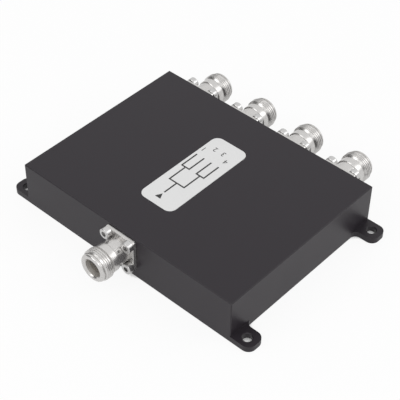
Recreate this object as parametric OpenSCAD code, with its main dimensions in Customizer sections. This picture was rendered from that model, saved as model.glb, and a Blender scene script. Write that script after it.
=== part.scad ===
// Four-way coaxial power splitter.
// A milled box with four ears carries one threaded flange socket on its front and four on its back.
// A printed divider board inside joins them. The cavity opens downwards and a flush plate closes it.
// Sizes are in millimetres, +Z is up, and the origin is the middle of the underside.

/* [Housing] */
// Width of the box from side to side, without its ears
housing_w = 130; // [126:1:170]
// Depth of the box from its input face to its output face
housing_d = 100; // [94:1:140]
// Height of the box
housing_h = 24; // [23:0.5:32]
// Thickness of the side walls
wall_t = 8; // [7.5:0.5:9]
// Thickness of the roof above the cavity
roof_t = 3.5; // [2:0.5:5]
// Bevel on the outer edges of the box
edge_bevel = 0.4; // [0.2:0.1:1]
// Radius that the cutter leaves in the corners of the cavity
cavity_r = 4; // [2:0.5:5]
// Width of the step in the cavity that carries the board
board_step_w = 5; // [4.5:0.5:7]

/* [Mounting ears] */
// Reach of an ear beyond the side of the box
ear_l = 11; // [9:0.5:16]
// Width of an ear along the side of the box
ear_w = 10.5; // [9.5:0.5:16]
// Thickness of an ear
ear_t = 3; // [2:0.5:5]
// Radius of the outer corners of an ear
ear_corner_r = 4; // [1:0.5:4.5]
// Radius of the fillet between an ear and the side
ear_root_r = 3; // [1:0.5:6]
// Diameter of the screw hole in an ear
ear_hole_d = 4.5; // [3:0.1:5.5]
// Bevel at the top of the screw hole
ear_hole_bevel = 0.4; // [0.2:0.1:0.8]
// Distance of the screw hole from the side of the box
ear_hole_out = 5.5; // [4.5:0.5:7]
// Distance of the screw hole from the front or back face
ear_hole_in = 5; // [4:0.5:6]

/* [Bottom cover] */
// Thickness of the cover plate
cover_t = 2; // [1.8:0.1:3]
// Width of the rim that the housing keeps around the cover
cover_lip = 2; // [1:0.5:2.5]
// Distance of the cover screws from the edge of the cover
cover_screw_inset = 3; // [2.8:0.1:3.5]
// Thread diameter of a cover screw
cover_screw_d = 2.5; // [2:0.1:3]
// Diameter of the countersunk head
cover_head_d = 4.7; // [4:0.1:5.2]
// Length of a cover screw, head and all
cover_screw_l = 8; // [5:0.5:10]
// Depth of the heads below the face of the cover
cover_head_sink = 0.1; // [0.05:0.05:0.2]

/* [Board] */
// Thickness of the laminate
board_t = 1.5; // [0.8:0.1:2]
// Thickness of the copper with its solder
trace_t = 0.1; // [0.05:0.05:0.2]
// Width of the lines that lead to the sockets
feed_w = 3; // [2:0.1:4]
// Width of the arms of a divider ring
arm_w = 1.6; // [1:0.1:2]
// Mean radius of a divider ring
ring_r = 6; // [5:0.5:6.5]
// Space between the two arms where they run side by side
arm_gap = 1; // [0.6:0.1:1.4]
// Length of the straight stretch after each ring
link_l = 2; // [1.6:0.1:2.5]
// Distance of the copper from the edge of the board
trace_inset = 0.5; // [0.2:0.1:1]
// Straight run between a socket and the nearest divider
feed_l = 7; // [5:0.5:9]
// Length of a chip resistor, across the arms
resistor_l = 2.4; // [2:0.1:3]
// Width of a chip resistor, along the arms
resistor_w = 1.4; // [1:0.1:1.6]
// Height of a chip resistor
resistor_h = 0.6; // [0.4:0.1:1]
// Thread diameter of a board screw
board_screw_d = 2.5; // [2:0.1:2.6]
// Diameter of the head of a board screw
board_head_d = 4.5; // [3.8:0.1:4.6]
// Height of the head of a board screw
board_head_h = 1.6; // [1.2:0.1:2]
// Radius of the round on top of the head
board_head_round = 0.5; // [0.3:0.1:0.9]
// Length of a board screw below its head
board_screw_l = 5; // [4:0.5:6]

/* [Socket shells] */
// Distance between neighbouring output sockets
output_pitch = 30; // [27:0.5:32]
// Height of the socket axes above the underside
port_z = 14; // [13:0.5:14.5]
// Side of the square flange
flange_w = 17.5; // [17:0.1:18.5]
// Thickness of the flange
flange_t = 2; // [1.5:0.1:3]
// Bevel at the corners of the flange
flange_bevel = 1.3; // [0.5:0.1:1.6]
// Diameter of the plain barrel next to the flange
barrel_d = 13.2; // [12:0.1:13.6]
// Length of the plain barrel
barrel_l = 6.4; // [5:0.1:9]
// Diameter of the collar behind the thread
collar_d = 14.4; // [13.9:0.1:14.8]
// Length of the collar
collar_l = 3.3; // [1.5:0.1:4]
// Length of the undercut between the collar and the thread
relief_l = 0.5; // [0.3:0.1:1]
// Diameter of the undercut
relief_d = 13.6; // [13:0.1:13.8]
// Outside diameter of the thread
thread_d = 15.9; // [15.5:0.1:16.2]
// Depth of the thread
thread_depth = 0.65; // [0.5:0.05:0.7]
// Length of the thread with its bevelled ends
thread_l = 5.3; // [4:0.1:8]
// Length of the bevel where a nut starts on the thread
thread_lead = 1.1; // [0.5:0.1:1.5]
// Length of the groove in front of the thread
groove_l = 0.5; // [0.2:0.1:0.8]
// Diameter of the groove in front of the thread
groove_d = 13.9; // [13:0.1:14]
// Diameter of the nose
nose_d = 14.5; // [14.3:0.1:15.2]
// Length of the nose
nose_l = 1.4; // [1.3:0.1:2.4]
// Radius of the round on the front edge of the nose
nose_round = 1.2; // [0.4:0.1:1.2]
// Diameter of the mouth that takes the plug
mouth_d = 8.1; // [7.8:0.1:8.8]
// Depth of the mouth, down to the stop for the plug
mouth_l = 9.1; // [8:0.1:10]
// Diameter to which the mouth widens behind its bevel
lead_d = 9.2; // [9:0.1:9.4]
// Length of the part of the mouth that widens, bevel and all
lead_l = 2.7; // [2:0.1:3.5]
// Bevel around the mouth
mouth_bevel = 0.7; // [0.4:0.1:1]
// Diameter of the bore that holds the insulator
bore_d = 7; // [6:0.1:7.4]

/* [Flange screws] */
// Thread diameter of a flange screw
flange_screw_d = 3; // [2.5:0.1:3]
// Diameter of its cylindrical head
flange_head_d = 5.5; // [4.4:0.1:5.6]
// Height of its head
flange_head_h = 3; // [2:0.1:3.2]
// Radius of the round on top of the head
flange_head_round = 0.4; // [0.2:0.1:0.8]
// Width of the hexagon recess in the head, from flat to flat
hex_w = 2.5; // [2:0.1:3]
// Depth of the hexagon recess
hex_l = 1.5; // [1:0.1:1.8]
// Length of the screw below its head
flange_screw_l = 8; // [6:0.5:8.5]
// Space between a screw head and the barrel
head_clear = 0.1; // [0.1:0.05:0.3]

/* [Screw recesses and tips] */
// Span of a cross recess as a share of the head's diameter
recess_span = 0.55; // [0.4:0.05:0.65]
// Width of its blades as a share of the thread's diameter
recess_blade = 0.24; // [0.15:0.01:0.3]
// Depth of the recess as a share of the head's height
recess_depth = 0.45; // [0.3:0.05:0.6]
// Bevel at a screw's tip as a share of the thread's diameter
tip_bevel = 0.12; // [0.05:0.01:0.2]

/* [Insulators and contacts] */
// Distance of the insulator's face below the stop for the plug
insulator_sink = 0.5; // [0.2:0.1:1]
// Diameter of the insulator's stem in the housing wall
stem_d = 4.4; // [3.6:0.1:5]
// Diameter of the centre contact
contact_d = 3.04; // [2.8:0.02:3.4]
// Distance of the contact's tip behind the front of the nose
contact_sink = 3.85; // [3.5:0.05:4.5]
// Distance of the contact's shoulder in front of the flange
contact_shoulder = 1; // [0.5:0.1:2]
// Diameter of the hole in the contact
contact_hole_d = 1.7; // [1.5:0.05:2]
// Depth of the hole in the contact
contact_hole_l = 6; // [4:0.1:7]
// Width of the slots that make the contact springy
contact_slot_w = 0.35; // [0.2:0.05:0.5]
// Length of the slots
contact_slot_l = 5; // [3:0.1:5.2]
// Bevel at the tip of the contact
contact_bevel = 0.25; // [0.1:0.05:0.3]
// Diameter of the soldering tail
tail_d = 1.3; // [1:0.05:1.6]
// Length of the tail inside the cavity
tail_l = 4; // [3:0.1:5]
// Height of the flat on the tail above the socket's axis
tail_flat = 0.35; // [0.2:0.05:0.45]

/* [Label] */
// Width of the label across the box
label_w = 20.5; // [15:0.5:40]
// Length of the label from front to back
label_l = 55; // [30:0.5:80]
// Thickness of the label
label_t = 0.15; // [0.1:0.05:0.3]
// Radius of the label's corners
label_r = 4; // [1:0.5:6]
// Place of the label's middle across the box
label_x = -1.75; // [-20:0.25:20]
// Place of the label's middle from front to back
label_y = 0; // [-10:0.2:10]

/* [Clearances] */
// Space around a screw, pin or insulator in its hole
fit_gap = 0.05; // [0.03:0.01:0.1]
// Space around the cover and the board in their seats
seat_gap = 0.1; // [0.05:0.05:0.2]
// Space around a screw where it passes through a plate
pass_gap = 0.1; // [0.05:0.05:0.2]
// Depth that a blind hole keeps below the tip of its screw
blind_gap = 0.5; // [0.3:0.1:1]

/* [Hidden] */
$fn = 64;
// Length by which a cut runs past the face that it opens
over = 1;
// Steps in a rounded edge
round_steps = 6;

// Colours of the finishes
black_anodised = [0.17, 0.17, 0.18];
bright_nickel = [0.80, 0.79, 0.77];
steel = [0.72, 0.72, 0.71];
white_resin = [0.93, 0.92, 0.88];
gold = [0.83, 0.66, 0.30];
laminate = [0.78, 0.74, 0.58];
copper = [0.80, 0.55, 0.38];
resistor_black = [0.10, 0.10, 0.11];
paper_white = [0.87, 0.87, 0.88];

// Cavity, cover and board
cavity_w = housing_w - 2 * wall_t;
cavity_d = housing_d - 2 * wall_t;
cover_w = housing_w - 2 * (cover_lip + seat_gap);
cover_d = housing_d - 2 * (cover_lip + seat_gap);
cover_r = cavity_r;
board_w = cavity_w - 2 * seat_gap;
board_d = cavity_d - 2 * seat_gap;
copper_z = port_z + tail_flat;
board_z = copper_z + trace_t;
board_seat_z = board_z + board_t;
cover_head_h = (cover_head_d - cover_screw_d) / 2;

// Socket profile, as distances from the face of the housing
barrel_end = flange_t + barrel_l;
collar_end = barrel_end + collar_l;
relief_end = collar_end + relief_l;
thread_end = relief_end + thread_l;
groove_end = thread_end + groove_l;
socket_l = groove_end + nose_l;
stop_at = socket_l - mouth_l;
thread_root_r = thread_d / 2 - thread_depth;
stem_hole_d = stem_d + 2 * fit_gap;
insulator_front = stop_at - insulator_sink;
contact_back = flange_t + contact_shoulder;
contact_tip = socket_l - contact_sink;
tail_end = wall_t + tail_l;

// The heads of the flange screws stand clear of the barrel, along the diagonals of the flange
flange_screw_at = (barrel_d / 2 + head_clear + flange_head_d / 2) / sqrt(2);
hex_points = [for (turn = [0 : 60 : 300]) hex_w / (2 * cos(30)) * [cos(turn), sin(turn)]];

// Places of the screws
corner_signs = [for (sx = [-1, 1], sy = [-1, 1]) [sx, sy]];
cover_screw_x = cover_w / 2 - cover_screw_inset;
cover_screw_y = cover_d / 2 - cover_screw_inset;
cover_screw_spots = concat(
    [for (s = corner_signs) [s.x * cover_screw_x, s.y * cover_screw_y]],
    [for (s = corner_signs) [s.x * output_pitch, s.y * cover_screw_y]],
    [for (sx = [-1, 1]) [sx * cover_screw_x, 0]]
);
// Along the sides of the board, where the heads clear the round corners of the cavity
board_screw_x = cavity_w / 2 - board_step_w / 2;
board_screw_y = cavity_d / 2 - cavity_r - board_head_d / 2;
board_screw_spots = concat(
    [for (s = corner_signs) [s.x * board_screw_x, s.y * board_screw_y]],
    [for (sx = [-1, 1]) [sx * board_screw_x, 0]]
);

// Sockets: name, place along X and side of the housing, -1 at the front and 1 at the back
output_count = 4;
output_x = [for (k = [0 : output_count - 1]) (k - (output_count - 1) / 2) * output_pitch];
ports = concat(
    [["input", 0, -1]],
    [for (k = [0 : output_count - 1]) [str("output_", k + 1), output_x[k], 1]]
);

// Divider tree on the board: two rings in a row to a divider
copper_end = board_d / 2 - trace_inset;
divider_l = 2 * (2 * ring_r + link_l);
first_divider_y = -copper_end + feed_l;
first_branch_y = first_divider_y + divider_l + feed_w / 2;
last_branch_y = copper_end - feed_l - feed_w / 2;
second_divider_y = last_branch_y - feed_w / 2 - divider_l;
second_divider_x = [-output_pitch, output_pitch];
dividers = concat(
    [[0, first_divider_y]],
    [for (x = second_divider_x) [x, second_divider_y]]
);
arm_x = (arm_gap + arm_w) / 2;

single_nodes = ["housing", "bottom_cover", "cover_screws", "circuit_board", "copper_traces",
    "isolation_resistors", "board_screws", "label"];
port_pieces = ["shell", "insulator", "contact", "flange_screws"];

// Points of an arc from angle a to angle b
function arc(centre, r, a, b) = [
    for (i = [0 : round_steps])
        let (angle = a + (b - a) * i / round_steps)
            centre + r * [cos(angle), sin(angle)]
];

// Rectangle with round corners, centred
module rounded_plate(w, d, r) {
    square([w - 2 * r, d], center = true);
    square([w, d - 2 * r], center = true);
    for (s = corner_signs)
        translate([s.x * (w / 2 - r), s.y * (d / 2 - r)])
            circle(r);
}

// Rectangle with bevelled corners, centred
module bevelled_rect(w, d, b) {
    x = w / 2;
    y = d / 2;
    polygon([
        [x, b - y], [x, y - b], [x - b, y], [b - x, y],
        [-x, y - b], [-x, b - y], [b - x, -y], [x - b, -y]
    ]);
}

// Children at each of the given places
module at_spots(spots) {
    for (spot = spots)
        translate([spot.x, spot.y])
            children();
}

// Children on the axis of a socket: +Z leads out of the housing and +Y stays upright
module at_port(port) {
    translate([port[1], port[2] * housing_d / 2, port_z])
        rotate([90, 0, port[2] < 0 ? 0 : 180])
            children();
}

// Four places on the corners of a flange
module at_flange_corners() {
    for (s = corner_signs)
        translate([s.x * flange_screw_at, s.y * flange_screw_at])
            children();
}

// Cross recess that opens upwards at the origin, for a thread and head of the given sizes
module cross_recess(d, head_d, head_h) {
    span = head_d * recess_span;
    blade = d * recess_blade;
    depth = head_h * recess_depth;
    for (turn = [0, 90])
        rotate(turn)
            translate([-span / 2, -blade / 2, -depth])
                cube([span, blade, depth + over]);
}

// Hexagon recess that opens upwards at the origin
module hex_recess() {
    translate([0, 0, -hex_l])
        linear_extrude(hex_l + over)
            polygon(hex_points);
}

// Screw with a round head: it seats at the origin, its head is above and its thread below, and the recess
// in its head is its child
module headed_screw(d, len, head_d, head_h, head_round) {
    tip = d * tip_bevel;
    difference() {
        rotate_extrude()
            polygon(concat(
                [[0, -len], [d / 2 - tip, -len], [d / 2, tip - len], [d / 2, 0], [head_d / 2, 0]],
                arc([head_d / 2 - head_round, head_h - head_round], head_round, 0, 90),
                [[0, head_h]]
            ));
        translate([0, 0, head_h])
            children();
    }
}

// Plan of one ear, at the +X +Y corner
module ear_plan() {
    x = housing_w / 2;
    y = housing_d / 2;
    inner_y = y - ear_w;
    translate([x - over, inner_y])
        square([ear_l - ear_corner_r + over, ear_w]);
    translate([x - over, inner_y + ear_corner_r])
        square([ear_l + over, ear_w - 2 * ear_corner_r]);
    for (corner_y = [inner_y + ear_corner_r, y - ear_corner_r])
        translate([x + ear_l - ear_corner_r, corner_y])
            circle(ear_corner_r);
    difference() {
        translate([x - over, inner_y - ear_root_r])
            square([ear_root_r + over, ear_root_r + over]);
        translate([x + ear_root_r, inner_y - ear_root_r])
            circle(ear_root_r);
    }
}

// The four ears, mirrored from one
module ears() {
    for (mx = [0, 1], my = [0, 1])
        mirror([mx, 0, 0])
            mirror([0, my, 0])
                linear_extrude(ear_t)
                    ear_plan();
}

// Box with every outer edge bevelled, apart from those of its underside
module bevelled_box() {
    intersection() {
        linear_extrude(housing_h)
            bevelled_rect(housing_w, housing_d, edge_bevel);
        rotate([90, 0, 0])
            linear_extrude(housing_d + over, center = true)
                bevelled_rect(housing_w, 2 * housing_h, edge_bevel);
        rotate([90, 0, 90])
            linear_extrude(housing_w + over, center = true)
                bevelled_rect(housing_d, 2 * housing_h, edge_bevel);
    }
}

// Hole with a bevelled upper edge in each ear. The bevel's cone runs past the ear by its own depth.
module ear_holes() {
    spot_x = housing_w / 2 + ear_hole_out;
    spot_y = housing_d / 2 - ear_hole_in;
    at_spots([for (s = corner_signs) [s.x * spot_x, s.y * spot_y]]) {
        translate([0, 0, -over])
            cylinder(d = ear_hole_d, h = ear_t + 2 * over);
        translate([0, 0, ear_t - ear_hole_bevel])
            cylinder(d1 = ear_hole_d, d2 = ear_hole_d + 4 * ear_hole_bevel, h = 2 * ear_hole_bevel);
    }
}

// Seat of the cover, main cavity up to the board, and the clear space above the board
module cavity() {
    translate([0, 0, -over])
        linear_extrude(cover_t + over)
            rounded_plate(cover_w + 2 * seat_gap, cover_d + 2 * seat_gap, cover_r + seat_gap);
    translate([0, 0, -over])
        linear_extrude(board_seat_z + over)
            rounded_plate(cavity_w, cavity_d, cavity_r);
    translate([0, 0, cover_t])
        linear_extrude(housing_h - roof_t - cover_t)
            rounded_plate(cavity_w - 2 * board_step_w, cavity_d - 2 * board_step_w, cavity_r);
}

// Holes behind one socket: the stem's way through the wall and the four threaded holes
module port_holes() {
    translate([0, 0, -wall_t - over])
        cylinder(d = stem_hole_d, h = wall_t + 2 * over);
    at_flange_corners()
        translate([0, 0, flange_t - flange_screw_l - blind_gap])
            cylinder(d = flange_screw_d + 2 * fit_gap, h = flange_screw_l + blind_gap);
}

module housing() {
    color(black_anodised)
        difference() {
            union() {
                bevelled_box();
                ears();
            }
            cavity();
            ear_holes();
            for (port = ports)
                at_port(port)
                    port_holes();
            at_spots(cover_screw_spots)
                cylinder(d = cover_screw_d + 2 * fit_gap, h = cover_head_sink + cover_screw_l + blind_gap);
            at_spots(board_screw_spots)
                translate([0, 0, board_z])
                    cylinder(d = board_screw_d + 2 * fit_gap, h = board_screw_l + blind_gap);
        }
}

// The countersinks follow the screw heads at the pass gap
module bottom_cover() {
    color(black_anodised)
        difference() {
            linear_extrude(cover_t)
                rounded_plate(cover_w, cover_d, cover_r);
            at_spots(cover_screw_spots) {
                translate([0, 0, -over])
                    cylinder(d = cover_screw_d + 2 * pass_gap, h = cover_t + 2 * over);
                translate([0, 0, cover_head_sink])
                    cylinder(d1 = cover_head_d + 2 * pass_gap, d2 = cover_screw_d + 2 * pass_gap,
                        h = cover_head_h);
                translate([0, 0, -over])
                    cylinder(d = cover_head_d + 2 * pass_gap, h = over + cover_head_sink);
            }
        }
}

module cover_screws() {
    head_r = cover_head_d / 2;
    thread_r = cover_screw_d / 2;
    color(steel)
        at_spots(cover_screw_spots)
            translate([0, 0, cover_head_sink])
                difference() {
                    rotate_extrude()
                        polygon([[0, 0], [head_r, 0], [thread_r, cover_head_h],
                            [thread_r, cover_screw_l], [0, cover_screw_l]]);
                    rotate([180, 0, 0])
                        cross_recess(cover_screw_d, cover_head_d, cover_head_h);
                }
}

module circuit_board() {
    color(laminate)
        translate([0, 0, board_z])
            difference() {
                linear_extrude(board_t)
                    rounded_plate(board_w, board_d, cavity_r - seat_gap);
                at_spots(board_screw_spots)
                    translate([0, 0, -over])
                        cylinder(d = board_screw_d + 2 * pass_gap, h = board_t + 2 * over);
            }
}

// One ring of a divider: it starts at the origin and its two arms come together at the far end
module divider_ring(joined_start) {
    difference() {
        translate([0, ring_r])
            circle(ring_r + arm_w / 2);
        translate([0, ring_r])
            circle(ring_r - arm_w / 2);
        translate([-arm_gap / 2, ring_r])
            square([arm_gap, 2 * ring_r]);
        if (!joined_start)
            translate([-arm_gap / 2, -ring_r])
                square([arm_gap, 2 * ring_r]);
    }
    for (sx = [-1, 1])
        translate([sx * arm_x - arm_w / 2, 2 * ring_r - arm_w / 2])
            square([arm_w, link_l + arm_w]);
}

// Two rings in a row
module divider() {
    divider_ring(true);
    translate([0, 2 * ring_r + link_l])
        divider_ring(false);
}

// Straight line of copper between two points that share X or Y
module line(a, b, w) {
    translate([min(a.x, b.x) - w / 2, min(a.y, b.y) - w / 2])
        square([abs(a.x - b.x) + w, abs(a.y - b.y) + w]);
}

// A branch from a divider's end to the line at x
module branch(from_x, y, to_x, end_y) {
    side = sign(to_x - from_x);
    line([from_x + side * (arm_gap + feed_w) / 2, y], [to_x, y], feed_w);
    line([to_x, y], [to_x, end_y - feed_w / 2], feed_w);
}

module copper_traces() {
    color(copper)
        translate([0, 0, copper_z])
            linear_extrude(trace_t) {
                line([0, -copper_end + feed_w / 2], [0, first_divider_y], feed_w);
                for (spot = dividers)
                    translate(spot)
                        divider();
                for (x = second_divider_x) {
                    branch(0, first_branch_y, x, second_divider_y + feed_w / 2);
                    for (side = [-1, 1])
                        branch(x, last_branch_y, x + side * output_pitch / 2, copper_end);
                }
            }
}

// A resistor bridges the two arms after each ring
module isolation_resistors() {
    color(resistor_black)
        for (spot = dividers, ring = [1, 2])
            translate([
                spot.x - resistor_l / 2,
                spot.y + ring * (2 * ring_r + link_l) - (link_l + resistor_w) / 2,
                copper_z - resistor_h
            ])
                cube([resistor_l, resistor_w, resistor_h]);
}

module board_screws() {
    color(steel)
        at_spots(board_screw_spots)
            translate([0, 0, board_z])
                rotate([180, 0, 0])
                    headed_screw(board_screw_d, board_screw_l, board_head_d, board_head_h, board_head_round)
                        cross_recess(board_screw_d, board_head_d, board_head_h);
}

module label() {
    color(paper_white)
        translate([label_x, label_y, housing_h])
            linear_extrude(label_t)
                rounded_plate(label_w, label_l, label_r);
}

// Outside of the turned shell, from the housing's face to the nose
shell_outline = concat(
    [[0, 0], [barrel_d / 2, 0], [barrel_d / 2, barrel_end], [collar_d / 2, barrel_end]],
    [[collar_d / 2, collar_end], [relief_d / 2, collar_end], [relief_d / 2, relief_end]],
    [[thread_root_r, relief_end], [thread_d / 2, relief_end + thread_depth]],
    [[thread_d / 2, thread_end - thread_lead]],
    [[thread_root_r, thread_end], [groove_d / 2, thread_end]],
    [[groove_d / 2, groove_end], [nose_d / 2, groove_end]],
    arc([nose_d / 2 - nose_round, socket_l - nose_round], nose_round, 0, 90),
    [[0, socket_l]]
);

// Stepped bore of the shell: stem hole, insulator bore, mouth and the cone that leads a plug in
shell_bore = [
    [0, -over], [stem_hole_d / 2, -over], [stem_hole_d / 2, flange_t], [bore_d / 2, flange_t],
    [bore_d / 2, stop_at], [mouth_d / 2, stop_at], [mouth_d / 2, socket_l - lead_l],
    [lead_d / 2, socket_l - mouth_bevel], [lead_d / 2 + mouth_bevel, socket_l],
    [lead_d / 2 + mouth_bevel, socket_l + over], [0, socket_l + over]
];

module socket_shell() {
    color(bright_nickel)
        difference() {
            union() {
                linear_extrude(flange_t)
                    bevelled_rect(flange_w, flange_w, flange_bevel);
                rotate_extrude()
                    polygon(shell_outline);
            }
            rotate_extrude()
                polygon(shell_bore);
            at_flange_corners()
                translate([0, 0, -over])
                    cylinder(d = flange_screw_d + 2 * pass_gap, h = flange_t + 2 * over);
        }
}

// Body in the shell's bore and a stem that lines the hole in the housing wall
module insulator() {
    body_r = bore_d / 2 - fit_gap;
    hole_r = contact_d / 2 + fit_gap;
    tail_hole_r = tail_d / 2 + fit_gap;
    color(white_resin)
        rotate_extrude()
            polygon([
                [tail_hole_r, -wall_t], [stem_d / 2, -wall_t], [stem_d / 2, flange_t], [body_r, flange_t],
                [body_r, insulator_front], [hole_r, insulator_front], [hole_r, contact_back],
                [tail_hole_r, contact_back]
            ]);
}

// Slotted socket at the front, and a tail whose flat lies against the copper
module contact() {
    contact_r = contact_d / 2;
    tail_r = tail_d / 2;
    color(gold)
        difference() {
            rotate_extrude()
                polygon([
                    [0, -tail_end], [tail_r, -tail_end], [tail_r, contact_back], [contact_r, contact_back],
                    [contact_r, contact_tip - contact_bevel], [contact_r - contact_bevel, contact_tip],
                    [0, contact_tip]
                ]);
            translate([0, 0, contact_tip - contact_hole_l])
                cylinder(d = contact_hole_d, h = contact_hole_l + over);
            for (turn = [45, 135])
                rotate(turn)
                    translate([-contact_d, -contact_slot_w / 2, contact_tip - contact_slot_l])
                        cube([2 * contact_d, contact_slot_w, contact_slot_l + over]);
            translate([-tail_d, tail_flat, -tail_end - over])
                cube([2 * tail_d, tail_d, tail_l + over]);
        }
}

module flange_screws() {
    color(steel)
        at_flange_corners()
            translate([0, 0, flange_t])
                headed_screw(flange_screw_d, flange_screw_l, flange_head_d, flange_head_h, flange_head_round)
                    hex_recess();
}

housing();
bottom_cover();
cover_screws();
circuit_board();
copper_traces();
isolation_resistors();
board_screws();
label();
for (port = ports) {
    at_port(port) socket_shell();
    at_port(port) insulator();
    at_port(port) contact();
    at_port(port) flange_screws();
}
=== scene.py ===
# %% [markdown]
# # A four-way power splitter with coaxial sockets
# A black milled box takes a signal at the threaded socket on its front and shares it between the four on
# its back. CAD gives its solids, in metres, with +Z up and the origin in the middle of the underside.
# This lesson keeps the solids that are right as they are, and makes again what CAD leaves plain: the
# turned shells get their threads, the screws get softer heads, and the label gets its print.

import math

import bmesh
import bpy
from mathutils import Matrix, Quaternion, Vector


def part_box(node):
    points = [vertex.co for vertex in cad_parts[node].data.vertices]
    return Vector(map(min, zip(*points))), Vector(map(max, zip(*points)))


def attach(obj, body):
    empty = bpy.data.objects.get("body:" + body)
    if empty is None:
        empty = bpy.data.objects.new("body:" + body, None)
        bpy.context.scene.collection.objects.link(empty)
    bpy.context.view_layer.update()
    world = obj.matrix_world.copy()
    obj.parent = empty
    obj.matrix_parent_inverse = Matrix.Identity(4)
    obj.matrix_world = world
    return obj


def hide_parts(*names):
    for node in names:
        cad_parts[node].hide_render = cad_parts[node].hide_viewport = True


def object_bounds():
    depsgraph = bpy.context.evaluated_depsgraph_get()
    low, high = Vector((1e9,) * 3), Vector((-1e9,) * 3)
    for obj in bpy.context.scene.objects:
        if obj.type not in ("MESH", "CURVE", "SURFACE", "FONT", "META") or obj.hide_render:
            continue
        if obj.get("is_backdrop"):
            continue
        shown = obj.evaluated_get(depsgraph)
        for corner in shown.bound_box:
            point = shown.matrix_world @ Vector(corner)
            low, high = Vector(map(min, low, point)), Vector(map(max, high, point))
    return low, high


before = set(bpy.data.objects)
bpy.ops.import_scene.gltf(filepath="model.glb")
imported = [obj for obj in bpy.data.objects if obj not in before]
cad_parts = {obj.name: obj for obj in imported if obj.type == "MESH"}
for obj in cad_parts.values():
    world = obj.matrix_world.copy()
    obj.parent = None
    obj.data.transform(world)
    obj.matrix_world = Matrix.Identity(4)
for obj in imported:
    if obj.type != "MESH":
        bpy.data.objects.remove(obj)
cad_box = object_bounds()
MM = 0.001
print("solids:", len(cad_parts), "size in mm:", [round(x / MM, 2) for x in cad_box[1] - cad_box[0]])

# %% [markdown]
# ## Camera
# The photograph looks down on the box from its right front corner through a long lens, so its edges
# hardly converge. Azimuth, elevation and roll give the camera's turn, and the lens its angle of view.

# %% Camera
CAMERA_AT = Vector((279.28, -312.48, 404.44)) * MM
AZIMUTH, ELEVATION, ROLL = (math.radians(a) for a in (41.590, 43.400, 0.910))
LENS_MM, SENSOR_MM = 108.70, 36.0

camera = bpy.data.objects.new("camera", bpy.data.cameras.new("camera"))
bpy.context.scene.collection.objects.link(camera)
backwards = Vector(
    (
        math.sin(AZIMUTH) * math.cos(ELEVATION),
        -math.cos(AZIMUTH) * math.cos(ELEVATION),
        math.sin(ELEVATION),
    )
)
camera.rotation_mode = "QUATERNION"
camera.rotation_quaternion = (-backwards).to_track_quat("-Z", "Y") @ Quaternion((0, 0, 1), ROLL)
camera.location = CAMERA_AT
camera.data.sensor_width = SENSOR_MM
camera.data.lens = LENS_MM
camera.data.clip_start, camera.data.clip_end = 0.01, 50
bpy.context.scene.camera = camera
bpy.context.scene.view_settings.view_transform = "Standard"
print("camera:", round(CAMERA_AT.length / MM), "mm from the origin")

# %% [markdown]
# ## Nodes from a script
# Finishes and Geometry Nodes trees are both graphs of nodes. One helper adds a node, sets its options and
# feeds each input with a number or with another node's output, so a graph reads like a recipe.


# %% Node helpers
def put(tree, kind, inputs=None, **options):
    """Adds a node to a tree and returns it."""
    made = tree.nodes.new(kind)
    for name, value in options.items():
        setattr(made, name, value)
    for key, value in (inputs or {}).items():
        if isinstance(value, bpy.types.NodeSocket):
            tree.links.new(value, made.inputs[key])
        else:
            made.inputs[key].default_value = value
    return made


def calc(tree, operation, a, b=0.0):
    """Adds a Math node and returns its result."""
    return put(tree, "ShaderNodeMath", {0: a, 1: b}, operation=operation).outputs[0]


def blend_colours(tree, factor, a, b):
    """Mixes two colours by a factor and returns the result."""
    made = put(tree, "ShaderNodeMix", {0: factor, 6: a, 7: b}, data_type="RGBA")
    return made.outputs[2]


def ramp(tree, value, low, high, to_low, to_high):
    """Carries a value from one range over to another, held at both ends."""
    sockets = {"Value": value, "From Min": low, "From Max": high, "To Min": to_low, "To Max": to_high}
    return put(tree, "ShaderNodeMapRange", sockets).outputs["Result"]


def grey(level, warmth=0.0):
    """A grey that leans to warm or cool by a small share."""
    return (level * (1 + warmth), level, level * (1 - warmth), 1.0)


print("node helpers ready")

# %% [markdown]
# ## Floor, backdrop and light
# The photograph has a white sweep with hardly any shadow. A white emission that only camera, mirror and
# glass rays see makes the floor and the world white without throwing more light on the box. A share of
# plain diffuse stays in the floor, so the box keeps its soft shadow, and where most of the sky over the
# floor is covered, as under the holes of the ears, the emission fades away. Three softboxes and a pale
# world give the even light of a studio. Metal needs something to mirror, so for mirror rays the walls of
# the studio are greyer than its ceiling, and on the front left a dark doorway stands open.

# %% World
WORLD_LIGHT = 0.68
WALL_GREY, WALL_TOP = 0.8, 0.55
# The doorway: its direction, the cosines between which it fades to dark, and the light that it keeps.
DOORWAY, DOOR_EDGE, DOOR_CORE, DOOR_LIGHT = (-0.79, -0.52, 0.33), 0.84, 0.95, 0.04

world = bpy.data.worlds.new("studio")
bpy.context.scene.world = world
world.use_nodes = True
tree = world.node_tree
tree.nodes.clear()


def backdrop_rays(tree):
    """1 for camera rays, and 1 for mirror and glass rays, which all show the backdrop as it is."""
    rays = put(tree, "ShaderNodeLightPath").outputs
    mirrored = calc(tree, "MAXIMUM", rays["Is Glossy Ray"], rays["Is Transmission Ray"])
    return rays["Is Camera Ray"], mirrored


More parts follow.
